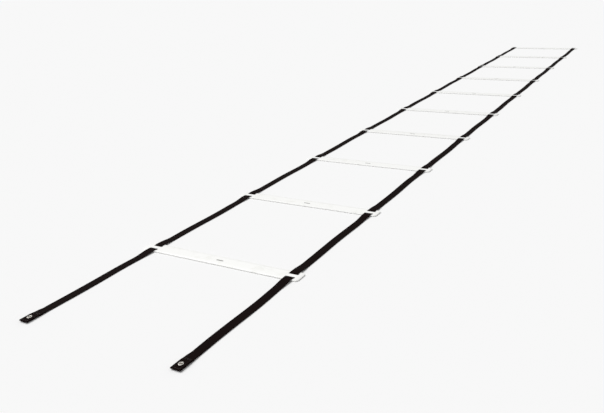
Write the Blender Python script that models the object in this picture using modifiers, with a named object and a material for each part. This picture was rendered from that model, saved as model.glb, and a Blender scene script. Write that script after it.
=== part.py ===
"""Agility ladder: ten flat moulded rungs threaded on two webbing straps.

The ladder lies flat along Y, with its long strap tails at -Y. Each strap runs over a rung's outer
bar, down through a slot, under the centre bar, and up through the next slot. The straps are made in
sections that end at the fold lines half way between rungs, where the ladder folds like a concertina.
The origin is on the floor, under the middle of the whole ladder.
"""
import math

import bmesh
import bpy

# Ladder
RUNG_COUNT = 10
RUNG_PITCH = 0.400
STRAP_SPACING = 0.444      # between the straps' centre lines
NEAR_TAIL = 0.380          # first rung's centre line to the near end of the straps
FAR_END = 0.038            # last rung's centre line to the far end of the straps
TAIL_HINGE = 0.215         # first rung's centre line to the line where a tail folds

# Rung
RUNG_LENGTH = 0.500
RUNG_WIDTH = 0.040
RUNG_THICKNESS = 0.003
RUNG_CORNER_RADIUS = 0.009
RUNG_CORNER_STEPS = 8
RUNG_EDGE_RADIUS = 0.0009
CENTRE_BAR = 0.011         # width of the bar that the strap passes under
SLOT_WIDTH = 0.007
SLOT_LENGTH = 0.029
SLOT_CORNER_RADIUS = 0.002
SLOT_CORNER_STEPS = 4
STRAP_RECESS = 0.0265      # width of the recess under the centre bar
STRAP_RECESS_DEPTH = 0.00195
RECESS_CORNER_RADIUS = 0.001
RECESS_CORNER_STEPS = 2

# Webbing
STRAP_WIDTH = 0.025
STRAP_THICKNESS = 0.0015
RAMP = 0.045               # run of strap that climbs from the floor on to a rung
FAR_RAMP = 0.014           # the same past the last rung, where little strap is left
SLOT_STEPS = 4             # straight pieces in the bend of a strap through a slot
RAMP_STEPS = 6             # straight pieces in a ramp
GAP = 0.0003               # between pieces that touch
WELD_DISTANCE = 1e-5       # corners closer than this are one corner

# Hem and eyelet at the near end of each strap
HEM_LENGTH = 0.040
HEM_DROP = 0.0245          # from the end to where the hem starts down from the washer to the floor
HEM_RAMP = 0.020
TURN_STEPS = 6             # straight pieces in the half circle at the near end
EYELET_FROM_END = 0.0165
EYELET_LIP = 0.00035
EYELET_WASHER = 0.0005
EYELET_FLANGE = 0.0007
EYELET_BORE_RADIUS = 0.0030
EYELET_BARREL_RADIUS = 0.00345
EYELET_LIP_RADIUS = 0.0045
EYELET_RADIUS = 0.0055
STRAP_HOLE_RADIUS = 0.0038
ROUND_STEPS = 32

# Heights that follow
ON_FLOOR = STRAP_THICKNESS / 2
UNDER_BAR = GAP / 2 + STRAP_THICKNESS / 2
OVER_BAR = RUNG_THICKNESS + GAP + STRAP_THICKNESS / 2
WASHER_BASE = EYELET_LIP + GAP
HEM_LOWER = WASHER_BASE + EYELET_WASHER + GAP + STRAP_THICKNESS / 2
HEM_LAYER = STRAP_THICKNESS + GAP
HEM_UPPER = HEM_LOWER + HEM_LAYER
FLANGE_BASE = HEM_UPPER + STRAP_THICKNESS / 2 + GAP
SLOT_CUT_HEIGHT = 3 * RUNG_THICKNESS      # the cutters stand out above and below what they cut
HOLE_CUT_HEIGHT = 4 * FLANGE_BASE

# Places along the ladder
LADDER_LENGTH = NEAR_TAIL + RUNG_PITCH * (RUNG_COUNT - 1) + FAR_END
NEAR_END = -LADDER_LENGTH / 2
RUNG_PLACES = [NEAR_TAIL + NEAR_END + RUNG_PITCH * i for i in range(RUNG_COUNT)]
SIDES = {"left": -STRAP_SPACING / 2, "right": STRAP_SPACING / 2}


def clear_scene():
    for item in list(bpy.data.objects):
        bpy.data.objects.remove(item, do_unlink=True)


def make_collection(name):
    collection = bpy.data.collections.new(name)
    bpy.context.scene.collection.children.link(collection)
    return collection


def make_material(name, colour, roughness, metallic=0.0):
    material = bpy.data.materials.new(name)
    material.use_nodes = True
    shader = material.node_tree.nodes["Principled BSDF"]
    shader.inputs["Base Color"].default_value = (*colour, 1.0)
    shader.inputs["Roughness"].default_value = roughness
    shader.inputs["Metallic"].default_value = metallic
    return material


def add_object(name, data, collection, material=None):
    piece = bpy.data.objects.new(name, data)
    collection.objects.link(piece)
    if material and not data.materials:
        data.materials.append(material)
    return piece


def smoothstep(t):
    return t * t * (3 - 2 * t)


def rounded_rectangle(length, width, radius, steps):
    """Outline of a rectangle with arcs at its corners, anticlockwise from the corner at +X +Y."""
    points = []
    for quarter in range(4):
        start = quarter * math.pi / 2
        corner_x = math.copysign(length / 2 - radius, math.cos(start + math.pi / 4))
        corner_y = math.copysign(width / 2 - radius, math.sin(start + math.pi / 4))
        for step in range(steps + 1):
            angle = start + step / steps * math.pi / 2
            points.append((corner_x + radius * math.cos(angle), corner_y + radius * math.sin(angle)))
    return points


def add_outline(curve, points, cyclic=True):
    spline = curve.splines.new("POLY")
    spline.points.add(len(points) - 1)
    for target, (x, y) in zip(spline.points, points):
        target.co = (x, y, 0, 1)
    spline.use_cyclic_u = cyclic


def as_mesh(source, name):
    """The evaluated shape of an object as a mesh of its own, with its caps welded on."""
    bpy.context.view_layer.update()
    evaluated = source.evaluated_get(bpy.context.evaluated_depsgraph_get())
    mesh = bpy.data.meshes.new_from_object(evaluated)
    mesh.name = name
    shape = bmesh.new()
    shape.from_mesh(mesh)
    bmesh.ops.remove_doubles(shape, verts=shape.verts, dist=WELD_DISTANCE)
    shape.to_mesh(mesh)
    shape.free()
    return mesh


def hide_cutter(cutter):
    cutter.hide_render = True
    cutter.display_type = "WIRE"


def add_cutter(target, cutter, operation="DIFFERENCE"):
    cut = target.modifiers.new("Cut " + cutter.name, "BOOLEAN")
    cut.object = cutter
    cut.operation = operation


# Rungs

def plan_mesh(name, points, height, edge_radius=0.0):
    """A flat outline raised from the floor, with its outer edges rounded."""
    plan = bpy.data.curves.new(name, "CURVE")
    plan.dimensions = "2D"
    plan.fill_mode = "BOTH"
    plan.extrude = height / 2 - edge_radius
    plan.bevel_depth = edge_radius
    plan.bevel_resolution = 1 if edge_radius else 0
    plan.offset = -edge_radius
    add_outline(plan, points)
    guide = bpy.data.objects.new(name, plan)
    bpy.context.scene.collection.objects.link(guide)
    guide.location.z = height / 2
    mesh = as_mesh(guide, name)
    mesh.transform(guide.matrix_world)
    bpy.data.objects.remove(guide, do_unlink=True)
    return mesh


def rung_cutters(side, x, collection):
    """Two slots through the plate, and a recess under the bar between them for the strap."""
    slot_plan = rounded_rectangle(SLOT_LENGTH, SLOT_WIDTH, SLOT_CORNER_RADIUS, SLOT_CORNER_STEPS)
    slot_mesh = plan_mesh("slot", slot_plan, SLOT_CUT_HEIGHT)
    cutters = []
    for place, direction in (("near", -1), ("far", 1)):
        slot = bpy.data.objects.new(f"{side}_{place}_slot", slot_mesh)
        slot_z = (RUNG_THICKNESS - SLOT_CUT_HEIGHT) / 2
        slot.location = (x, direction * (CENTRE_BAR + SLOT_WIDTH) / 2, slot_z)
        cutters.append(slot)
    recess_plan = rounded_rectangle(
        STRAP_RECESS, CENTRE_BAR + SLOT_WIDTH, RECESS_CORNER_RADIUS, RECESS_CORNER_STEPS
    )
    recess_mesh = plan_mesh("recess", recess_plan, 2 * STRAP_RECESS_DEPTH)
    recess = bpy.data.objects.new(side + "_recess", recess_mesh)
    recess.location = (x, 0, -STRAP_RECESS_DEPTH)
    cutters.append(recess)
    for cutter in cutters:
        collection.objects.link(cutter)
        hide_cutter(cutter)
    return cutters


def rung_mesh(collection):
    """The finished rung: a plate with soft edges, two slots at each end and a recess between."""
    outline = rounded_rectangle(RUNG_LENGTH, RUNG_WIDTH, RUNG_CORNER_RADIUS, RUNG_CORNER_STEPS)
    plate_mesh = plan_mesh("rung_plate", outline, RUNG_THICKNESS, RUNG_EDGE_RADIUS)
    plate = bpy.data.objects.new("rung_plate", plate_mesh)
    collection.objects.link(plate)
    for side, x in SIDES.items():
        for cutter in rung_cutters(side, x, collection):
            add_cutter(plate, cutter)
    mesh = as_mesh(plate, "rung")
    bpy.data.objects.remove(plate, do_unlink=True)
    return mesh


def make_rungs(collection, cutters, material):
    mesh = rung_mesh(cutters)
    for number, y in enumerate(RUNG_PLACES, start=1):
        rung = add_object(f"rung_{number:02d}", mesh, collection, material)
        rung.location.y = y


# Straps

def weave_profile(ramp_in, ramp_out):
    """Centre line of a strap through one rung, as distance along the strap and height."""
    slot_in = CENTRE_BAR / 2
    slot_out = slot_in + SLOT_WIDTH
    bar_out = RUNG_WIDTH / 2 + GAP

    def half(ramp):
        profile = []
        for step in range(SLOT_STEPS + 1):
            t = step / SLOT_STEPS
            height = UNDER_BAR + (OVER_BAR - UNDER_BAR) * smoothstep(t)
            profile.append((slot_in + SLOT_WIDTH * t, height))
        for step in range(RAMP_STEPS + 1):
            t = step / RAMP_STEPS
            height = OVER_BAR + (ON_FLOOR - OVER_BAR) * smoothstep(t)
            profile.append((bar_out + ramp * t, height))
        return profile

    before = [(-distance, height) for distance, height in reversed(half(ramp_in))]
    return before + half(ramp_out)


def section_profile(number):
    """Centre line of one strap section, from its near end to its far end."""
    rung = RUNG_PLACES[number - 1]
    first, last = number == 1, number == RUNG_COUNT
    near = rung - (TAIL_HINGE if first else RUNG_PITCH / 2) + GAP / 2
    far = rung + (FAR_END if last else RUNG_PITCH / 2 - GAP / 2)
    weave = weave_profile(RAMP, FAR_RAMP if last else RAMP)
    points = [(near, ON_FLOOR)]
    points += [(rung + distance, height) for distance, height in weave]
    points.append((far, ON_FLOOR))
    return points


def tail_profile():
    """Centre line of a strap tail: flat, up on to its hem, round the end, and back underneath.

    The hem's two layers are level round the eyelet's washer and come down to the floor past it.
    """
    hinge = RUNG_PLACES[0] - TAIL_HINGE - GAP / 2
    hem_end = NEAR_END + HEM_LENGTH
    fold_height = ON_FLOOR + HEM_LAYER
    points = [(hinge, ON_FLOOR)]
    for step in range(RAMP_STEPS + 1):
        t = step / RAMP_STEPS
        height = ON_FLOOR + (fold_height - ON_FLOOR) * smoothstep(t)
        points.append((hem_end + GAP + HEM_RAMP * (1 - t), height))
    lower = []
    for step in range(RAMP_STEPS + 1):
        t = step / RAMP_STEPS
        distance = HEM_LENGTH + (HEM_DROP - HEM_LENGTH) * t
        lower.append((NEAR_END + distance, ON_FLOOR + (HEM_LOWER - ON_FLOOR) * smoothstep(t)))
    points += [(y, z + HEM_LAYER) for y, z in lower[1:]]
    turn_radius = HEM_LAYER / 2
    turn_y = NEAR_END + turn_radius + STRAP_THICKNESS / 2
    turn_z = HEM_LOWER + turn_radius
    for step in range(TURN_STEPS + 1):
        angle = math.pi / 2 + step / TURN_STEPS * math.pi
        points.append((turn_y + turn_radius * math.cos(angle), turn_z + turn_radius * math.sin(angle)))
    return points + lower[::-1]


def add_ribbon(name, points, x, collection, material):
    """A strap of even thickness that follows a centre line in the plane of Y and Z.

    The curve is drawn in its own XY plane and turned, so that its X runs along +Y, its Y is up and
    its extrusion runs across the strap.
    """
    curve = bpy.data.curves.new(name, "CURVE")
    curve.dimensions = "2D"
    curve.fill_mode = "NONE"
    curve.extrude = STRAP_WIDTH / 2
    origin = points[0][0]
    add_outline(curve, [(y - origin, z) for y, z in points], cyclic=False)
    ribbon = add_object(name, curve, collection, material)
    ribbon.location = (x, origin, 0)
    ribbon.rotation_euler = (math.pi / 2, 0, math.pi / 2)
    wall = ribbon.modifiers.new("Webbing thickness", "SOLIDIFY")
    wall.thickness = STRAP_THICKNESS
    wall.offset = 0
    wall.use_even_offset = True
    return ribbon


def hole_cutter(name, x, collection):
    place = (x, NEAR_END + EYELET_FROM_END, 0)
    bpy.ops.mesh.primitive_cylinder_add(
        vertices=ROUND_STEPS, radius=STRAP_HOLE_RADIUS, depth=HOLE_CUT_HEIGHT, location=place
    )
    cutter = bpy.context.object
    cutter.name = name
    for owner in list(cutter.users_collection):
        owner.objects.unlink(cutter)
    collection.objects.link(cutter)
    hide_cutter(cutter)
    return cutter


def make_tail(side, x, collection, cutters, material):
    """The tail is a hemmed ribbon with a hole through both layers for its eyelet."""
    name = side + "_strap_tail"
    ribbon = add_ribbon(name + "_ribbon", tail_profile(), x, collection, material)
    mesh = as_mesh(ribbon, name)
    tail = add_object(name, mesh, collection, material)
    tail.matrix_world = ribbon.matrix_world.copy()
    bpy.data.objects.remove(ribbon, do_unlink=True)
    add_cutter(tail, hole_cutter(side + "_hole", x, cutters))


def make_straps(collection, cutters, material):
    for side, x in SIDES.items():
        for number in range(1, RUNG_COUNT + 1):
            name = f"{side}_strap_{number:02d}"
            add_ribbon(name, section_profile(number), x, collection, material)
        make_tail(side, x, collection, cutters, material)


# Eyelets

def turned_ring(name, section, place, collection, material):
    """A ring turned from a closed section of (radius, height) points, listed clockwise."""
    mesh = bpy.data.meshes.new(name)
    corners = [(radius, 0, height) for radius, height in section]
    edges = [(i, (i + 1) % len(section)) for i in range(len(section))]
    mesh.from_pydata(corners, edges, [])
    ring = add_object(name, mesh, collection, material)
    ring.location = place
    turn = ring.modifiers.new("Turn", "SCREW")
    turn.steps = ROUND_STEPS
    turn.render_steps = ROUND_STEPS
    turn.use_merge_vertices = True
    turn.merge_threshold = WELD_DISTANCE
    turn.use_smooth_shade = True
    return ring


def eyelet_section():
    """Flange with a rounded rim, a barrel through the hem, and a lip rolled out below."""
    top = FLANGE_BASE + EYELET_FLANGE
    rim = EYELET_FLANGE / 2
    return [
        (EYELET_BORE_RADIUS, top - rim),
        (EYELET_BORE_RADIUS + rim, top),
        (EYELET_RADIUS - 2 * rim, top),
        (EYELET_RADIUS - rim / 2, top - rim / 2),
        (EYELET_RADIUS, FLANGE_BASE),
        (EYELET_BARREL_RADIUS, FLANGE_BASE),
        (EYELET_BARREL_RADIUS, EYELET_LIP),
        (EYELET_LIP_RADIUS, EYELET_LIP),
        (EYELET_LIP_RADIUS - EYELET_LIP / 2, 0),
        (EYELET_BORE_RADIUS + rim, 0),
        (EYELET_BORE_RADIUS, rim),
    ]


def washer_section():
    """Flat ring with a chamfered outer edge, clear of the barrel that it is clenched on."""
    top = WASHER_BASE + EYELET_WASHER
    inner = EYELET_BARREL_RADIUS + GAP
    outer = EYELET_RADIUS
    chamfer = EYELET_WASHER / 2
    return [
        (inner, top),
        (outer, top),
        (outer, top - chamfer),
        (outer - chamfer, WASHER_BASE),
        (inner, WASHER_BASE),
    ]


def make_eyelets(collection, material):
    for side, x in SIDES.items():
        place = (x, NEAR_END + EYELET_FROM_END, 0)
        turned_ring(side + "_eyelet", eyelet_section(), place, collection, material)
        turned_ring(side + "_eyelet_washer", washer_section(), place, collection, material)


def main():
    clear_scene()
    ladder = make_collection("agility_ladder")
    cutters = make_collection("cutters")
    white_plastic = make_material("white polypropylene", (0.86, 0.86, 0.85), 0.35)
    black_webbing = make_material("black webbing", (0.010, 0.007, 0.007), 0.85)
    nickel = make_material("nickel plated brass", (0.78, 0.77, 0.75), 0.25, 1.0)
    make_rungs(ladder, cutters, white_plastic)
    make_straps(ladder, cutters, black_webbing)
    make_eyelets(ladder, nickel)


main()
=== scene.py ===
# Agility ladder: moulded rungs threaded on two woven straps, laid out flat.
# Straps, eyelets, stitches and marks are surfaces worked out here; the rungs keep the
# frame's shape.
import math

import bmesh
import bpy
import numpy as np
from mathutils import Matrix, Vector


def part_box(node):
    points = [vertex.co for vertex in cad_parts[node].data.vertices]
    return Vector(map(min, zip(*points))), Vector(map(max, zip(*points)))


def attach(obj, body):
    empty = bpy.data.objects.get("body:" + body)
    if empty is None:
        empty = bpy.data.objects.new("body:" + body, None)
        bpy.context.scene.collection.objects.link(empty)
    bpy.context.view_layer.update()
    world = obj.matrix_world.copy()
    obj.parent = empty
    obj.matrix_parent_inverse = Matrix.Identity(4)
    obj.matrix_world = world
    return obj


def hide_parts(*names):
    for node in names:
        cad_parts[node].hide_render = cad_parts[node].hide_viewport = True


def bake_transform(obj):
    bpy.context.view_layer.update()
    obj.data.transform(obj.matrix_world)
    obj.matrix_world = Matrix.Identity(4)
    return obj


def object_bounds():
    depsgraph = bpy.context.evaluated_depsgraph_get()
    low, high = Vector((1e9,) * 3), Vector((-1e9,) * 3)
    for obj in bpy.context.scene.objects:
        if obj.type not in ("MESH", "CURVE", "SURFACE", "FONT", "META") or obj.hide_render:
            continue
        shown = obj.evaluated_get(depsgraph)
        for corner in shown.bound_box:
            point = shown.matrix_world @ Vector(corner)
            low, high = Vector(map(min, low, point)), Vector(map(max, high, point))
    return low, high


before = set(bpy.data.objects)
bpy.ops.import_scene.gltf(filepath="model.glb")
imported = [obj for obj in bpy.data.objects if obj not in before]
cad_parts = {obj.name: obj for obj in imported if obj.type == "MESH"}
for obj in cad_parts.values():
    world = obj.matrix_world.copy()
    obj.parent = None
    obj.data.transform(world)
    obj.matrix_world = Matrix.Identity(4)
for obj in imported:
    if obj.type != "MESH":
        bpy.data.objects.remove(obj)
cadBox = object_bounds()
print("frame loaded:", len(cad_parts), "nodes")


def hexColour(code):
    # sRGB hex to linear: the lower part is a straight line, the rest a 2.4 power
    parts = [int(code[i:i + 2], 16) / 255 for i in (1, 3, 5)]
    linear = [c / 12.92 if c <= 0.04045 else ((c + 0.055) / 1.055) ** 2.4 for c in parts]
    return (*linear, 1.0)


def addNode(tree, kind, inputs=None, **settings):
    # settings go on the node, inputs are values or sockets of other nodes
    node = tree.nodes.new("ShaderNode" + kind)
    for key, value in settings.items():
        setattr(node, key, value)
    for key, value in (inputs or {}).items():
        if isinstance(value, bpy.types.NodeSocket):
            tree.links.new(value, node.inputs[key])
        else:
            node.inputs[key].default_value = value
    return node


def newMaterial(name):
    # an empty material with its shader and output, ready for the finish's own nodes
    material = bpy.data.materials.new(name)
    material.use_nodes = True
    tree = material.node_tree
    return material, tree, tree.nodes["Principled BSDF"]


def smooth(t):
    # eases from 0 to 1 along a cubic, three t squared less two t cubed, level at both ends
    t = np.clip(t, 0, 1)
    return t * t * (3 - 2 * t)


def newPiece(name, mesh, material, sharpAngle=40):
    # smooth shading, with a crease wherever two faces meet at more than sharpAngle degrees
    mesh.materials.clear()
    mesh.materials.append(material)
    mesh.shade_smooth()
    mesh.set_sharp_from_angle(angle=math.radians(sharpAngle))
    piece = bpy.data.objects.new(name, mesh)
    bpy.context.scene.collection.objects.link(piece)
    return piece


def tubeMesh(name, points, uv=None):
    # points is (rings, around, 3) and closes on itself around; each quad joins two rings,
    # and a single face closes each end. uv is (across of each corner, along of each ring).
    rings, around = points.shape[:2]
    ring, corner = np.meshgrid(np.arange(rings - 1), np.arange(around), indexing="ij")
    following = (corner + 1) % around
    quads = np.stack([ring * around + corner, ring * around + following,
                      (ring + 1) * around + following, (ring + 1) * around + corner], axis=-1)
    faces = quads.reshape(-1, 4).tolist()
    faces.append(np.arange(around)[::-1].tolist())
    faces.append(((rings - 1) * around + np.arange(around)).tolist())
    mesh = bpy.data.meshes.new(name)
    mesh.from_pydata(points.reshape(-1, 3).tolist(), [], faces)
    if uv:
        across, along = uv
        corners = np.array([v for face in faces for v in face])
        layer = mesh.uv_layers.new(name="weave")
        flat = np.stack([across[corners % around], along[corners // around]], axis=-1)
        layer.data.foreach_set("uv", flat.ravel().astype(np.float32))
    return mesh


cameraSet = {"place": (1.026, -2.635, 0.696), "heading": -26.42, "tilt": 22.81, "roll": -3.08,
             "lens": 35.44, "shift": -0.165, "sensor": 36, "sees": 200}


def makeCamera():
    # heading turns from +Y towards +X, tilt is down from level, roll is about the view
    camera = bpy.data.objects.new("camera", bpy.data.cameras.new("camera"))
    bpy.context.scene.collection.objects.link(camera)
    camera.data.sensor_width = cameraSet["sensor"]
    camera.data.lens = cameraSet["lens"]
    camera.data.shift_x = cameraSet["shift"]
    camera.data.clip_end = cameraSet["sees"]
    heading = Matrix.Rotation(-math.radians(cameraSet["heading"]), 4, "Z")
    tilt = Matrix.Rotation(math.radians(90 - cameraSet["tilt"]), 4, "X")
    roll = Matrix.Rotation(math.radians(cameraSet["roll"]), 4, "Z")
    camera.matrix_world = Matrix.Translation(cameraSet["place"]) @ heading @ tilt @ roll
    bpy.context.scene.camera = camera


makeCamera()
print("camera placed")


# the valley colour is painted shade between the cords, the ridge colour a painted sheen on their
# crowns
webbingSet = {"valleyPaintedShade": "#050101", "ridgePaintedSheen": "#21110F", "paintedSheenFrom": 0.7, "rib": 0.025 / 11,
              "pick": 0.0028, "slant": 0.9, "fibre": 0.00025, "fibreRun": 0.12,
              "fibreRoughness": 0.6, "fibreBump": 0.3, "bump": 0.7, "bumpDepth": 0.0004,
              "roughness": 0.78, "specular": 0.04, "sheen": 0.01, "sheenRoughness": 0.4}


def wovenPolypropylene():
    # Polypropylene strap, shuttle woven: warp cords run its length side by side, and the weft
    # binds them in picks that lean one way and then the other, a herringbone drawn a little
    # coarser than real so that it shows. Dull black with a faint brown cast; the colour carries a
    # painted sheen on the crowns of the cords and painted shade in the valleys between them.
    material, tree, shader = newMaterial("woven polypropylene, black")
    place = addNode(tree, "SeparateXYZ", {0: addNode(tree, "UVMap", uv_map="weave").outputs[0]})
    cord = addNode(tree, "Math", {0: place.outputs[0], 1: webbingSet["rib"]}, operation="DIVIDE")
    number = addNode(tree, "Math", {0: cord.outputs[0]}, operation="FLOOR")
    across = addNode(tree, "Math", {0: cord.outputs[0], 1: number.outputs[0]},
                     operation="SUBTRACT")
    centred = addNode(tree, "Math", {0: across.outputs[0], 1: 0.5}, operation="SUBTRACT")
    odd = addNode(tree, "Math", {0: number.outputs[0], 1: 2.0}, operation="FLOORED_MODULO")
    lean = addNode(tree, "Math", {0: odd.outputs[0], 1: -2 * webbingSet["slant"],
                                  2: webbingSet["slant"]}, operation="MULTIPLY_ADD")
    pick = addNode(tree, "Math", {0: place.outputs[1], 1: webbingSet["pick"]}, operation="DIVIDE")
    leaning = addNode(tree, "Math", {0: centred.outputs[0], 1: lean.outputs[0],
                                     2: pick.outputs[0]}, operation="MULTIPLY_ADD")
    turn = addNode(tree, "Math", {0: leaning.outputs[0], 1: math.pi}, operation="MULTIPLY")
    wave = addNode(tree, "Math", {0: turn.outputs[0]}, operation="SINE")
    crown = addNode(tree, "Math", {0: wave.outputs[0]}, operation="ABSOLUTE")
    halfTurn = addNode(tree, "Math", {0: centred.outputs[0], 1: math.pi}, operation="MULTIPLY")
    arch = addNode(tree, "Math", {0: halfTurn.outputs[0]}, operation="COSINE")
    knuckle = addNode(tree, "Math", {0: crown.outputs[0], 1: arch.outputs[0]},
                      operation="MULTIPLY")
    stretched = addNode(tree, "CombineXYZ", {0: place.outputs[0], 1: place.outputs[1]})
    runs = addNode(tree, "Mapping", {0: stretched.outputs[0],
                                     "Scale": (1.0, webbingSet["fibreRun"], 1.0)},
                   vector_type="POINT")
    fibres = addNode(tree, "TexNoise", {"Vector": runs.outputs[0], "Detail": 2.0,
                                        "Scale": 1 / webbingSet["fibre"],
                                        "Roughness": webbingSet["fibreRoughness"]})
    # painted sheen and shade: random fibre tone times the cord shape, lighter on crowns, darker in
    # valleys
    fibreToneAndPaintedSheen = addNode(tree, "Math", {0: fibres.outputs[0], 1: knuckle.outputs[0]},
                  operation="MULTIPLY")
    tone = addNode(tree, "ValToRGB", {0: fibreToneAndPaintedSheen.outputs[0]})
    tone.color_ramp.elements[0].color = hexColour(webbingSet["valleyPaintedShade"])
    tone.color_ramp.elements[1].color = hexColour(webbingSet["ridgePaintedSheen"])
    tone.color_ramp.elements[1].position = webbingSet["paintedSheenFrom"]
    tree.links.new(tone.outputs[0], shader.inputs["Base Color"])
    height = addNode(tree, "Math", {0: fibres.outputs[0], 1: webbingSet["fibreBump"],
                                    2: knuckle.outputs[0]}, operation="MULTIPLY_ADD")
    bump = addNode(tree, "Bump", {"Height": height.outputs[0], "Strength": webbingSet["bump"],
                                  "Distance": webbingSet["bumpDepth"]})
    tree.links.new(bump.outputs[0], shader.inputs["Normal"])
    shader.inputs["Roughness"].default_value = webbingSet["roughness"]
    shader.inputs["Specular IOR Level"].default_value = webbingSet["specular"]
    shader.inputs["Sheen Weight"].default_value = webbingSet["sheen"]
    shader.inputs["Sheen Roughness"].default_value = webbingSet["sheenRoughness"]
    return material


rungFinish = {"clean": "#FCFCFA", "worn": "#EFEFEB", "scuff": 0.035, "scuffRoughness": 0.62,
              "scuffRange": (0.52, 0.72), "roughness": (0.34, 0.5), "grain": 0.0009,
              "grainBump": 0.12, "grainDepth": 0.0002, "ior": 1.49}


def mouldedPolypropylene():
    # White polypropylene, injection moulded: a fine spark-eroded grain, milky under the surface,
    # with a few dull scuffs where the plates rub together when the ladder is folded.
    material, tree, shader = newMaterial("moulded polypropylene, white")
    place = addNode(tree, "TexCoord")
    scuff = addNode(tree, "TexNoise", {"Vector": place.outputs["Object"], "Detail": 4.0,
                                       "Scale": 1 / rungFinish["scuff"],
                                       "Roughness": rungFinish["scuffRoughness"]})
    faint, strong = rungFinish["scuffRange"]
    worn = addNode(tree, "MapRange", {0: scuff.outputs[0], 1: faint, 2: strong})
    tone = addNode(tree, "Mix", {0: worn.outputs[0], 6: hexColour(rungFinish["clean"]),
                                 7: hexColour(rungFinish["worn"])}, data_type="RGBA")
    tree.links.new(tone.outputs[2], shader.inputs["Base Color"])
    low, high = rungFinish["roughness"]
    dull = addNode(tree, "MapRange", {0: worn.outputs[0], 3: low, 4: high})
    tree.links.new(dull.outputs[0], shader.inputs["Roughness"])
    grain = addNode(tree, "TexNoise", {"Vector": place.outputs["Object"], "Detail": 2.0,
                                       "Scale": 1 / rungFinish["grain"]})
    bump = addNode(tree, "Bump", {"Height": grain.outputs[0], "Strength": rungFinish["grainBump"],
                                  "Distance": rungFinish["grainDepth"]})
    tree.links.new(bump.outputs[0], shader.inputs["Normal"])
    shader.inputs["IOR"].default_value = rungFinish["ior"]
    return material


eyeletFinish = {"bright": "#E9E6E0", "dull": "#BDB8B0", "tumble": 0.0012, "patch": 0.002,
                "skinRange": (0.3, 0.7), "roughness": (0.16, 0.34), "dentBump": 0.15,
                "dentDepth": 0.0001}


def nickelledBrass():
    # Brass eyelet, stamped, tumbled and nickel plated: bright and slightly warm, with small
    # dents from the tumbling and a duller skin in patches.
    material, tree, shader = newMaterial("nickel plated brass, tumbled")
    place = addNode(tree, "TexCoord")
    patches = addNode(tree, "TexNoise", {"Vector": place.outputs["Object"], "Detail": 3.0,
                                         "Scale": 1 / eyeletFinish["patch"]})
    tone = addNode(tree, "Mix", {0: patches.outputs[0], 6: hexColour(eyeletFinish["bright"]),
                                 7: hexColour(eyeletFinish["dull"])}, data_type="RGBA")
    tree.links.new(tone.outputs[2], shader.inputs["Base Color"])
    start, full = eyeletFinish["skinRange"]
    low, high = eyeletFinish["roughness"]
    skin = addNode(tree, "MapRange", {0: patches.outputs[0], 1: start, 2: full, 3: low, 4: high})
    tree.links.new(skin.outputs[0], shader.inputs["Roughness"])
    dents = addNode(tree, "TexVoronoi", {"Vector": place.outputs["Object"],
                                         "Scale": 1 / eyeletFinish["tumble"]},
                    feature="SMOOTH_F1")
    bump = addNode(tree, "Bump", {"Height": dents.outputs[0], "Strength": eyeletFinish["dentBump"],
                                  "Distance": eyeletFinish["dentDepth"]})
    tree.links.new(bump.outputs[0], shader.inputs["Normal"])
    shader.inputs["Metallic"].default_value = 1.0
    return material


threadFinish = {"colour": "#17110F", "light": "#2E2624", "ply": 0.0006, "waveTurn": 0.3,
                "distortion": 0.4, "bump": 0.4, "bumpDepth": 0.0001, "roughness": 0.45}


def bondedPolyester():
    # Bonded polyester sewing thread, three ply: black, a little shinier than the strap, with
    # its twist showing as slanting bands. A wave texture of scale 1 repeats every 0.3 m, so
    # that over the ply is its scale.
    material, tree, shader = newMaterial("bonded polyester thread, black")
    place = addNode(tree, "TexCoord")
    twist = addNode(tree, "TexWave", {"Vector": place.outputs["Object"],
                                      "Distortion": threadFinish["distortion"],
                                      "Scale": threadFinish["waveTurn"] / threadFinish["ply"]},
                    bands_direction="DIAGONAL")
    tone = addNode(tree, "Mix", {0: twist.outputs[0], 6: hexColour(threadFinish["colour"]),
                                 7: hexColour(threadFinish["light"])}, data_type="RGBA")
    tree.links.new(tone.outputs[2], shader.inputs["Base Color"])
    bump = addNode(tree, "Bump", {"Height": twist.outputs[0], "Strength": threadFinish["bump"],
                                  "Distance": threadFinish["bumpDepth"]})
    tree.links.new(bump.outputs[0], shader.inputs["Normal"])
    shader.inputs["Roughness"].default_value = threadFinish["roughness"]
    return material


inkFinish = {"full": "#8F8F8D", "thin": "#B4B4B1", "speckle": 0.0007, "thinRange": (0.45, 0.75),
             "roughness": 0.6}


def padPrintInk():
    # Grey pad printing ink on plastic: a thin matt film that covers unevenly.
    material, tree, shader = newMaterial("pad printing ink, grey")
    place = addNode(tree, "TexCoord")
    speckle = addNode(tree, "TexNoise", {"Vector": place.outputs["Object"], "Detail": 2.0,
                                         "Scale": 1 / inkFinish["speckle"]})
    start, full = inkFinish["thinRange"]
    thin = addNode(tree, "MapRange", {0: speckle.outputs[0], 1: start, 2: full})
    tone = addNode(tree, "Mix", {0: thin.outputs[0], 6: hexColour(inkFinish["full"]),
                                 7: hexColour(inkFinish["thin"])}, data_type="RGBA")
    tree.links.new(tone.outputs[2], shader.inputs["Base Color"])
    shader.inputs["Roughness"].default_value = inkFinish["roughness"]
    return material


webbing = wovenPolypropylene()
whitePlastic = mouldedPolypropylene()
nickel = nickelledBrass()
thread = bondedPolyester()
ink = padPrintInk()
print("materials made")


# where the frame puts the rungs, the two ends and the straps' middles
rungNames = sorted(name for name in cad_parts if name.startswith("rung_"))
rungPlaces = np.array([(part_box(name)[0][1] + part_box(name)[1][1]) / 2 for name in rungNames])
pitch = float(np.diff(rungPlaces).mean())
nearEnd, farEnd = cadBox[0][1], cadBox[1][1]
sides = {side: (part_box(side + "_strap_02")[0][0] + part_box(side + "_strap_02")[1][0]) / 2
         for side in ("left", "right")}


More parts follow.
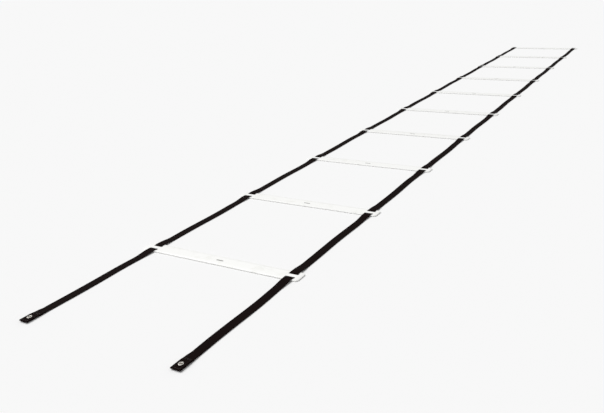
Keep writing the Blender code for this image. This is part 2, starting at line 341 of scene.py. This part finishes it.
strapSet = {"width": 0.025, "thickness": 0.0015, "ribs": 11, "ribDepth": 0.00014, "perRib": 4,
            "edgeSteps": 5, "underBar": 0.0009, "overBar": 0.00405, "barHalf": 0.0055,
            "slot": 0.007, "plateHalf": 0.0203, "ramp": 0.045, "farRamp": 0.014,
            "floorStep": 0.006, "rows": (4, 12, 4, 14, 24), "sealSteps": 5, "sealLeft": 0.1}
hemSet = {"length": 0.040, "drop": 0.0245, "ramp": 0.020, "low": 0.0022, "layer": 0.0018,
          "turnSteps": 15, "flatSteps": 30, "rampSteps": 13, "hole": 0.0038, "holeSides": 48,
          "punch": 0.03}
# how the strap strays from a straight line on the floor, up and then sideways: how far, how far
# from a rung it starts, and its two waves, as radians per metre of y with a start in radians
# for the lift, and with radians per metre of x for the waver
straySet = {"lift": 0.0006, "liftFrom": 0.06, "liftOver": 0.05,
            "liftWaves": ((23.0, 0.0), (9.1, 1.3)),
            "waver": 0.0012, "waverFrom": 0.03, "waverOver": 0.1, "hemFrom": 0.03,
            "hemOver": 0.08, "waverWaves": ((11.0, 9.0), (27.0, -5.0)), "second": 0.6}
foldSet = {"before": 0.004, "after": 0.018, "bend": 0.014, "step": 0.0009, "tailHinge": 0.215,
           "holdRung": 0.030, "holdSection": 0.176}


def strapHeight(y):
    # level on the floor, a smooth ramp up to the rung, level over its outer bar, then a smooth
    # drop through the slot to pass under the centre bar; on the floor two sines of y, added and
    # brought to 0..1, lift it a little
    away = np.abs(y[:, None] - rungPlaces[None, :]).min(axis=1)
    floor = strapSet["thickness"] / 2
    ramp = np.where(y > rungPlaces[-1], strapSet["farRamp"], strapSet["ramp"])
    dip = smooth((away - strapSet["barHalf"]) / strapSet["slot"])
    fall = smooth((away - strapSet["plateHalf"]) / ramp)
    over, under = strapSet["overBar"], strapSet["underBar"]
    (turnA, startA), (turnB, startB) = straySet["liftWaves"]
    ripple = (np.sin(y * turnA + startA) + np.sin(y * turnB + startB) + 2) / 4
    free = smooth((away - straySet["liftFrom"]) / straySet["liftOver"])
    lift = straySet["lift"] * ripple * free * fall
    return under + (over - under) * dip - (over - floor) * fall + lift


def strapWaver(y, x):
    # a slow sideways drift between rungs, the sum of two sines, nil where the slots or the hem
    # hold the strap straight
    away = np.abs(y[:, None] - rungPlaces[None, :]).min(axis=1)
    (turnA, startA), (turnB, startB) = straySet["waverWaves"]
    drift = np.sin(y * turnA + x * startA) + straySet["second"] * np.sin(y * turnB + x * startB)
    free = smooth((away - straySet["waverFrom"]) / straySet["waverOver"])
    free = free * smooth((y - nearEnd - straySet["hemFrom"]) / straySet["hemOver"])
    return x + straySet["waver"] * drift * free


def hemLow(y):
    # the hem's lower layer: level round the eyelet's washer, then a smooth drop to the floor
    floor = strapSet["thickness"] / 2
    past = (y - nearEnd - hemSet["drop"]) / (hemSet["length"] - hemSet["drop"])
    return hemSet["low"] + (floor - hemSet["low"]) * smooth(past)


def hemLine():
    # the hem's middle as y and z: its hidden layer, round the near end on a half circle, the
    # layer above it, and a smooth ramp down to the floor
    layer, half = hemSet["layer"], strapSet["thickness"] / 2
    radius = layer / 2
    turnY = nearEnd + radius + half
    hemEnd = nearEnd + hemSet["length"]
    angle = np.linspace(-0.5 * np.pi, -1.5 * np.pi, hemSet["turnSteps"])
    under = np.linspace(hemEnd, turnY, hemSet["flatSteps"])[:-1]
    above = np.linspace(turnY, hemEnd, hemSet["flatSteps"])[1:-1]
    slope = np.linspace(0, 1, hemSet["rampSteps"])
    hemY = np.concatenate([under, turnY + radius * np.cos(angle), above,
                           hemEnd + hemSet["ramp"] * slope])
    hemZ = np.concatenate([hemLow(under), hemSet["low"] + radius + radius * np.sin(angle),
                           hemLow(above) + layer, half + layer * (1 - smooth(slope))])
    return hemY, hemZ


def foldPlaces():
    # half way between each rung and the next
    return (rungPlaces[:-1] + rungPlaces[1:]) / 2


def tailHinge():
    # where the tail bends up, a set way before the first rung
    return rungPlaces[0] - foldSet["tailHinge"]


def cutPlaces():
    # where one length of strap hands over to the next: bar centres and both sides of each fold
    return np.concatenate([[tailHinge() + foldSet["before"]], rungPlaces,
                           foldPlaces() - foldSet["before"], foldPlaces() + foldSet["after"]])


def strapLine(x):
    # the strap's middle as (x, y, z) rows: the hem, then on along the floor and through every
    # rung to the far end, with rows close together at the slots, the ramps and the folds
    hemY, hemZ = hemLine()
    stops = np.cumsum([0, strapSet["barHalf"], strapSet["slot"]])
    stops = [*stops, strapSet["plateHalf"], strapSet["plateHalf"] + strapSet["ramp"], pitch / 2]
    offsets = np.concatenate([np.linspace(stops[i], stops[i + 1], rows)
                              for i, rows in enumerate(strapSet["rows"])])
    aroundRungs = (rungPlaces[:, None] + np.concatenate([-offsets, offsets])[None, :]).ravel()
    beforeRungs = np.arange(hemY[-1], rungPlaces[0] - pitch / 2, strapSet["floorStep"])
    bend = np.arange(0, foldSet["after"], foldSet["step"])
    bends = np.concatenate([(foldPlaces()[:, None] + bend[None, :]).ravel(), tailHinge() - bend])
    rounding = 1 - np.sin(np.linspace(0, np.pi / 2, strapSet["sealSteps"]))
    seal = farEnd - strapSet["thickness"] / 2 * rounding
    mainY = np.concatenate([aroundRungs, beforeRungs, cutPlaces(), bends, seal])
    mainY = np.unique(np.round(mainY, 6))  # to a thousandth of a millimetre
    mainY = mainY[(mainY > hemY[-1] + 0.001) & (mainY <= farEnd + 1e-6)]
    y = np.concatenate([hemY, mainY])
    z = np.concatenate([hemZ, strapHeight(mainY)])
    return np.stack([strapWaver(y, x), y, z], axis=-1)


def strapSection():
    # outline of the webbing as (across, up): cords side by side give both faces a row of arches,
    # each the upper half of a cosine, and a half circle rounds each edge
    half = strapSet["thickness"] / 2
    face = strapSet["width"] / 2 - half
    count = strapSet["ribs"] * strapSet["perRib"]
    across = np.linspace(-face, face, count + 1)
    arch = np.abs(np.cos(np.pi * strapSet["ribs"] * across / strapSet["width"]))
    up = half - strapSet["ribDepth"] * (1 - arch)
    angle = np.linspace(np.pi / 2, -np.pi / 2, strapSet["edgeSteps"] + 2)[1:-1]
    edgeAcross, edgeUp = face + half * np.cos(angle), half * np.sin(angle)
    return np.concatenate([np.stack([across, up], -1), np.stack([edgeAcross, edgeUp], -1),
                           np.stack([across[::-1], -up[::-1]], -1),
                           np.stack([-edgeAcross, -edgeUp], -1)])


def carryAlong(line, outline):
    # each ring is the outline set square to the line: across is +X, up is the line's own normal;
    # at the far end, where the strap is melted shut, the rings shrink along a quarter circle
    step = np.gradient(line[:, 1:], axis=0)
    step /= np.linalg.norm(step, axis=1, keepdims=True)
    normal = np.stack([np.zeros(len(line)), -step[:, 1], step[:, 0]], axis=-1)
    side = np.array([1.0, 0.0, 0.0])
    half = strapSet["thickness"] / 2
    past = np.clip((line[:, 1] - (farEnd - half)) / half, 0, 1)
    sealed = np.sqrt(1 - (1 - strapSet["sealLeft"]) * past ** 2)[:, None, None]
    across, up = outline[None, :, 0, None], outline[None, :, 1, None]
    across = across - np.sign(across) * half * (1 - sealed)
    return line[:, None, :] + across * side + up * sealed * normal[:, None, :]


def strapPiece(name, rings, along, outline, first, last, node):
    # one length of strap, from its first ring to its last, with a capped end at each
    mesh = tubeMesh(name, rings[first:last + 1], (outline[:, 0], along[first:last + 1]))
    piece = newPiece(name, mesh, webbing)
    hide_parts(node)
    return piece


def cutHole(piece, place):
    # punches the eyelet's hole through both layers of the hem with an upright round bar
    mesh = bpy.data.meshes.new("punch")
    shape = bmesh.new()
    bmesh.ops.create_cone(shape, cap_ends=True, segments=hemSet["holeSides"],
                          radius1=hemSet["hole"], radius2=hemSet["hole"], depth=hemSet["punch"],
                          matrix=Matrix.Translation(place))
    shape.to_mesh(mesh)
    shape.free()
    punch = bpy.data.objects.new("punch", mesh)
    bpy.context.scene.collection.objects.link(punch)
    cut = piece.modifiers.new("hole", "BOOLEAN")
    cut.object = punch
    bpy.context.view_layer.update()
    punched = piece.evaluated_get(bpy.context.evaluated_depsgraph_get())
    result = bpy.data.meshes.new_from_object(punched)
    piece.modifiers.clear()
    piece.data = result
    bpy.data.objects.remove(punch)


def makeStrap(side, x):
    # one strap, cut into lengths that each cross one joint: the tail, then at each rung a length
    # before it, a length after it, and the fold on the way to the next
    line = strapLine(x)
    outline = strapSection()
    along = np.concatenate([[0], np.cumsum(np.linalg.norm(np.diff(line, axis=0), axis=1))])
    rings = carryAlong(line, outline)
    folds, hinge = foldPlaces(), tailHinge()
    hemRings = int((line[:, 1] < nearEnd + hemSet["length"] + hemSet["ramp"]).sum())

    def lengthOf(name, start, end, node):
        # start and end are places along the ladder; no start means from the hem's hidden end
        first, last = (0 if y is None else hemRings + int(np.abs(line[hemRings:, 1] - y).argmin())
                       for y in (start, end))
        return strapPiece(side + name, rings, along, outline, first, last, node)

    tail = lengthOf("StrapTail", None, hinge + foldSet["before"], side + "_strap_tail")
    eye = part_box(side + "_eyelet")
    cutHole(tail, (x, (eye[0][1] + eye[1][1]) / 2, 0.0))
    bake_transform(tail)
    for i, y in enumerate(rungPlaces):
        number = f"{i + 1:02d}"
        node, section, rung = f"{side}_strap_{number}", "section_" + number, "rung_" + number
        start = hinge + foldSet["before"] if i == 0 else folds[i - 1] + foldSet["after"]
        near = lengthOf("StrapNear" + number, start, y, node)
        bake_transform(near)
        lastOne = i == len(rungPlaces) - 1
        end = farEnd if lastOne else folds[i] - foldSet["before"]
        far = lengthOf("StrapFar" + number, y, end, node)
        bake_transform(far)
        if not lastOne:
            bend = lengthOf("StrapFold" + number, end, folds[i] + foldSet["after"], node)
            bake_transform(bend)


for sideName, sideX in sides.items():
    makeStrap(sideName, sideX)
print("straps made")


rungSet = {"mergeWithin": 1e-5, "flatWithin": 1.0, "bevel": 0.0004, "bevelAngle": 30,
           "segments": 3}


def makeRung(name):
    # the plate keeps the frame's shape; its corners get the small radius of the mould
    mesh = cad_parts[name].data.copy()
    shape = bmesh.new()
    shape.from_mesh(mesh)
    bmesh.ops.remove_doubles(shape, verts=shape.verts, dist=rungSet["mergeWithin"])
    bmesh.ops.dissolve_limit(shape, angle_limit=math.radians(rungSet["flatWithin"]),
                             verts=shape.verts, edges=shape.edges)
    shape.to_mesh(mesh)
    shape.free()
    piece = newPiece(name.replace("rung_", "rungPlate"), mesh, whitePlastic)
    rounded = piece.modifiers.new("mould radius", "BEVEL")
    rounded.width = rungSet["bevel"]
    rounded.segments = rungSet["segments"]
    rounded.limit_method = "ANGLE"
    rounded.angle_limit = math.radians(rungSet["bevelAngle"])
    rounded.harden_normals = True
    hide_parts(name)
    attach(piece, name)


markSet = {"length": 0.022, "width": 0.0045, "film": 0.00008, "around": 48, "across": 5,
           "power": 5, "middle": 0.05, "edgePower": 8, "thinnest": 0.25}


def makeMark(name):
    # a plain printed bar: rings of a long superellipse that shrink towards the middle, each
    # cosine and sine of its angle taken to a power, lifted by a film of ink that thins at the rim
    low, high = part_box(name)
    angle = np.linspace(0, 2 * np.pi, markSet["around"], endpoint=False)
    turn = np.stack([np.cos(angle), np.sin(angle)], -1)
    rim = np.sign(turn) * np.abs(turn) ** (2 / markSet["power"])
    rim = rim * (markSet["length"] / 2, markSet["width"] / 2)
    size = np.linspace(1, markSet["middle"], markSet["across"])
    film = markSet["film"] * np.sqrt(np.maximum(markSet["thinnest"],
                                                1 - size ** markSet["edgePower"]))
    size, film = np.concatenate([[1.0], size]), np.concatenate([[0.0], film])
    points = np.zeros((len(size), len(angle), 3))
    points[:, :, 0] = (low[0] + high[0]) / 2 + size[:, None] * rim[None, :, 0]
    points[:, :, 1] = (low[1] + high[1]) / 2 + size[:, None] * rim[None, :, 1]
    points[:, :, 2] = high[2] + film[:, None]
    piece = newPiece(name.replace("rung_", "rungMark"), tubeMesh(name + "Mark", points), ink)
    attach(piece, name)


for rungName in rungNames:
    makeRung(rungName)
    makeMark(rungName)
print("rungs made")


eyeletSet = {"bore": 0.0030, "barrel": 0.00345, "rim": 0.0055, "lip": 0.0045, "flange": 0.0007,
             "lipHeight": 0.00035, "mouthShare": 0.7, "rimShare": 0.45, "washer": 0.0005,
             "gap": 0.0003, "around": 96, "crease": 50}


def roundCorner(centre, radius, start, end, steps=6):
    # part of a circle as (radius from the axis, height) points
    angle = np.radians(np.linspace(start, end, steps))
    return np.stack([centre[0] + radius * np.cos(angle), centre[1] + radius * np.sin(angle)], -1)


def eyeletProfile(top):
    # clockwise: the rolled mouth of the bore, a nearly flat flange, its rounded rim, back in under
    # the flange, down the barrel, out along the clenched lip, and up the bore
    bore, rim, lip = eyeletSet["bore"], eyeletSet["rim"], eyeletSet["lip"]
    barrel, lipTop = eyeletSet["barrel"], eyeletSet["lipHeight"]
    base, thin = top - eyeletSet["flange"], lipTop / 2
    mouth = eyeletSet["flange"] * eyeletSet["mouthShare"]
    edge = eyeletSet["flange"] * eyeletSet["rimShare"]
    return np.concatenate([roundCorner((bore + mouth, top - mouth), mouth, 180, 90, 8),
                           roundCorner((rim - edge, top - edge), edge, 90, 0),
                           [(rim, base), (barrel, base), (barrel, lipTop)],
                           roundCorner((lip - thin, thin), thin, 90, -90),
                           roundCorner((bore + thin, thin), thin, 270, 180, 4)])


def washerProfile(base):
    # clockwise: a flat ring with both outer edges rounded
    top, outer = base + eyeletSet["washer"], eyeletSet["rim"]
    inner = eyeletSet["barrel"] + eyeletSet["gap"]
    soft = eyeletSet["washer"] / 2
    return np.concatenate([[(inner, top)],
                           roundCorner((outer - soft, base + soft), soft, 90, -90, 8),
                           [(inner, base)]])


def turnedPiece(name, profile, centre, body, node):
    # the profile swept once round an upright axis: x = r cos a, y = r sin a; the profile is closed,
    # so the sweep is a ring with no ends
    angle = np.linspace(0, 2 * np.pi, eyeletSet["around"], endpoint=False)
    rings = len(profile)
    points = np.zeros((eyeletSet["around"], rings, 3))
    points[:, :, 0] = centre[0] + profile[None, :, 0] * np.cos(angle)[:, None]
    points[:, :, 1] = centre[1] + profile[None, :, 0] * np.sin(angle)[:, None]
    points[:, :, 2] = profile[None, :, 1]
    turn, corner = np.meshgrid(np.arange(len(angle)), np.arange(rings), indexing="ij")
    nextTurn, nextCorner = (turn + 1) % len(angle), (corner + 1) % rings
    quads = np.stack([turn * rings + corner, turn * rings + nextCorner,
                      nextTurn * rings + nextCorner, nextTurn * rings + corner], -1)
    mesh = bpy.data.meshes.new(name)
    mesh.from_pydata(points.reshape(-1, 3).tolist(), [], quads.reshape(-1, 4).tolist())
    piece = newPiece(name, mesh, nickel, eyeletSet["crease"])
    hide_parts(node)
    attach(piece, body)


for sideName in sides:
    low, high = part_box(sideName + "_eyelet")
    centre = ((low[0] + high[0]) / 2, (low[1] + high[1]) / 2)
    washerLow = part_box(sideName + "_eyelet_washer")[0][2]
    turnedPiece(sideName + "Eyelet", eyeletProfile(high[2]), centre, sideName + "_tail",
                sideName + "_eyelet")
    turnedPiece(sideName + "EyeletWasher", washerProfile(washerLow), centre,
                sideName + "_tail", sideName + "_eyelet_washer")
print("eyelets made")


stitchSet = {"length": 0.0030, "pitch": 0.0038, "thread": 0.00045, "inset": 0.0035,
             "nearInset": 0.0035, "farInset": 0.0045, "secondRow": 0.003, "rings": 7,
             "around": 8, "sink": 0.00012, "endSize": 0.04, "taper": 0.6, "flatten": 0.8,
             "crease": 60}


def stitchLines(x):
    # a box of straight runs round the eyelet, with a second row across where the hem ends
    half = strapSet["width"] / 2 - stitchSet["inset"]
    near = nearEnd + stitchSet["nearInset"]
    far = nearEnd + hemSet["length"] - stitchSet["farInset"]
    second = far - stitchSet["secondRow"]
    return [((x - half, near), (x + half, near)), ((x + half, near), (x + half, far)),
            ((x + half, far), (x - half, far)), ((x - half, far), (x - half, near)),
            ((x + half, second), (x - half, second))]


def makeStitches(side, x):
    # every stitch is a short bead: rings of a circle whose size follows a parabola's square root,
    # eased by a power, laid along its run and flattened on to the strap's upper or lower face
    t = np.linspace(-1, 1, stitchSet["rings"])
    angle = np.linspace(0, 2 * np.pi, stitchSet["around"], endpoint=False)
    swell = np.sqrt(np.maximum(stitchSet["endSize"], 1 - t ** 2)) ** stitchSet["taper"]
    size = swell * stitchSet["thread"] / 2
    dip = (1 - t ** 2) * stitchSet["sink"]
    centres, directions = [], []
    for start, end in stitchLines(x):
        start, end = np.array(start), np.array(end)
        rowLength = np.linalg.norm(end - start)
        count = max(1, round(rowLength / stitchSet["pitch"]))
        centres.append(start + (end - start) * (np.arange(count)[:, None] + 0.5) / count)
        directions.append(np.repeat([(end - start) / rowLength], count, axis=0))
    centres, directions = np.concatenate(centres), np.concatenate(directions)
    leftward = np.stack([-directions[:, 1], directions[:, 0]], -1)
    run = t * stitchSet["length"] / 2
    half, layer = strapSet["thickness"] / 2, hemSet["layer"]
    beads = []
    for level, out in ((layer + half, 1), (-half, -1)):
        point = np.zeros((len(centres), len(t), len(angle), 3))
        swing = out * size[:, None] * np.cos(angle)[None, :]
        rise = out * (dip[:, None] + stitchSet["flatten"] * size[:, None] * np.sin(angle)[None, :])
        for axis in (0, 1):
            point[..., axis] = (centres[:, axis, None, None]
                                + directions[:, axis, None, None] * run[None, :, None]
                                + leftward[:, axis, None, None] * swing[None])
        point[..., 2] = hemLow(point[..., 1]) + level + rise[None]
        beads.append(point)
    beads = np.concatenate(beads)
    count, rings, around = beads.shape[:3]
    ring, corner = np.meshgrid(np.arange(rings - 1), np.arange(around), indexing="ij")
    following = (corner + 1) % around
    quads = np.stack([ring * around + corner, ring * around + following,
                      (ring + 1) * around + following, (ring + 1) * around + corner], -1)
    offset = (np.arange(count) * rings * around)[:, None]
    faces = (offset[:, :, None] + quads.reshape(1, -1, 4)).reshape(-1, 4).tolist()
    faces += (offset + np.arange(around)[None, ::-1]).tolist()
    faces += (offset + ((rings - 1) * around + np.arange(around))[None, :]).tolist()
    mesh = bpy.data.meshes.new(side + "Stitches")
    mesh.from_pydata(beads.reshape(-1, 3).tolist(), [], faces)
    piece = newPiece(side + "HemStitches", mesh, thread, stitchSet["crease"])
    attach(piece, side + "_tail")


for sideName, sideX in sides.items():
    makeStitches(sideName, sideX)
print("stitches made")


stageSet = {"floor": "#F3F3F3", "floorSize": 120, "drop": 0.0004, "floorRoughness": 0.9,
            "surround": 0.42, "backdrop": 0.937, "key": 2.4, "keyAngle": 50,
            "keyFrom": (-0.7, 0.0, 1.0)}


def makeLamp(name, power, spread, source):
    # a far, broad lamp: light comes from the direction named, softened over the spread in degrees
    lamp = bpy.data.objects.new(name, bpy.data.lights.new(name, "SUN"))
    lamp.data.energy = power
    lamp.data.angle = math.radians(spread)
    lamp.rotation_euler = Vector(source).to_track_quat("Z", "Y").to_euler()
    bpy.context.scene.collection.objects.link(lamp)


def makeStage():
    # a plain pale sweep, an even surround that the camera sees as bright as the sweep, and a
    # soft key from the left
    mesh = bpy.data.meshes.new("floor")
    half = stageSet["floorSize"] / 2
    corners = [(-half, -half, 0), (half, -half, 0), (half, half, 0), (-half, half, 0)]
    mesh.from_pydata(corners, [], [(0, 1, 2, 3)])
    floor = bpy.data.objects.new("floor", mesh)
    bpy.context.scene.collection.objects.link(floor)
    floor.location.z = -stageSet["drop"]
    material, tree, shader = newMaterial("matt paper sweep")
    shader.inputs["Base Color"].default_value = hexColour(stageSet["floor"])
    shader.inputs["Roughness"].default_value = stageSet["floorRoughness"]
    shader.inputs["Specular IOR Level"].default_value = 0.0
    mesh.materials.append(material)
    world = bpy.data.worlds.new("studio")
    world.use_nodes = True
    tree = world.node_tree
    seen = addNode(tree, "LightPath").outputs["Is Camera Ray"]
    strength = addNode(tree, "MapRange", {0: seen, 3: stageSet["surround"],
                                          4: stageSet["backdrop"]})
    tree.nodes["Background"].inputs[0].default_value = (1, 1, 1, 1)
    tree.links.new(strength.outputs[0], tree.nodes["Background"].inputs[1])
    bpy.context.scene.world = world
    makeLamp("key", stageSet["key"], stageSet["keyAngle"], stageSet["keyFrom"])


makeStage()
bpy.context.scene.view_settings.view_transform = "Standard"
print("stage made")
